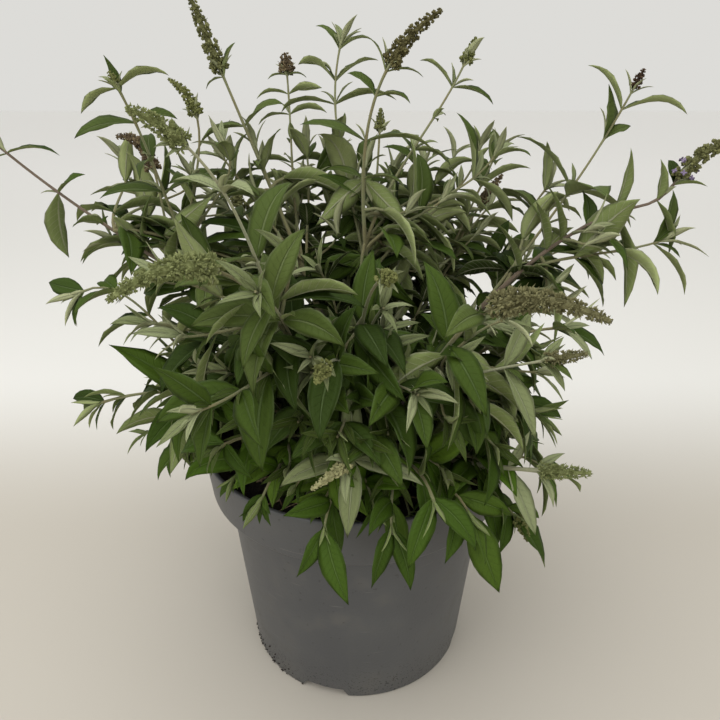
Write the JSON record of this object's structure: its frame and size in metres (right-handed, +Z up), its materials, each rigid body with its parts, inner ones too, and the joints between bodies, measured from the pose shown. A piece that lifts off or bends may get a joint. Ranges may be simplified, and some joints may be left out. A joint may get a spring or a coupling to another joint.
{
  "type": "potted butterfly bush",
  "caption": "Bushy young butterfly bush with arching leafy stems and budding flower spikes, growing in a round plastic nursery pot that stands on its flat base.",
  "frame": {"origin": "centre of the pot's flat underside, on the surface it stands on", "axes": "+Z up along the pot's axis, +X to the right and -Y towards the viewer"},
  "size_m": [0.5686, 0.4192, 0.5458],
  "materials": {
    "pot": "satin, lightly scuffed grey plastic",
    "soil": "rough, moist potting mix of peat and bark",
    "bark": "rough, flaking bark",
    "stem": "matt, felty young bark",
    "foliage": "matt leaves, darker above and pale and felty below"
  },
  "bodies": {
    "root": {"pot": "pot", "soil": "soil", "stool": "bark", "bough_top": "stem", "mass_top": "foliage", "bough_top_left": "stem", "mass_top_left": "foliage", "bough_left": "stem", "mass_left": "foliage", "bough_left_front": "stem", "mass_left_front": "foliage", "bough_front_left": "stem", "mass_front_left": "foliage", "bough_front": "stem", "mass_front": "foliage", "bough_front_right": "stem", "mass_front_right": "foliage", "bough_right_front": "stem", "mass_right_front": "foliage", "bough_right": "stem", "mass_right": "foliage", "bough_back_right": "stem", "mass_back_right": "foliage", "bough_back_top": "stem", "mass_back_top": "foliage", "bough_back": "stem", "mass_back": "foliage", "bough_back_left": "stem", "mass_back_left": "foliage", "bough_low_left": "stem", "mass_low_left": "foliage", "bough_low_front_left": "stem", "mass_low_front_left": "foliage", "bough_low_front": "stem", "mass_low_front": "foliage", "bough_low_front_right": "stem", "mass_low_front_right": "foliage", "bough_low_right_front": "stem", "mass_low_right_front": "foliage", "bough_low_right": "stem", "mass_low_right": "foliage", "bough_low_back_right": "stem", "mass_low_back_right": "foliage", "bough_low_back": "stem", "mass_low_back": "foliage", "bough_low_back_left": "stem", "mass_low_back_left": "foliage", "bough_low_left_back": "stem", "mass_low_left_back": "foliage", "bough_low_far_left": "stem", "mass_low_far_left": "foliage"}
  },
  "joints": []
}
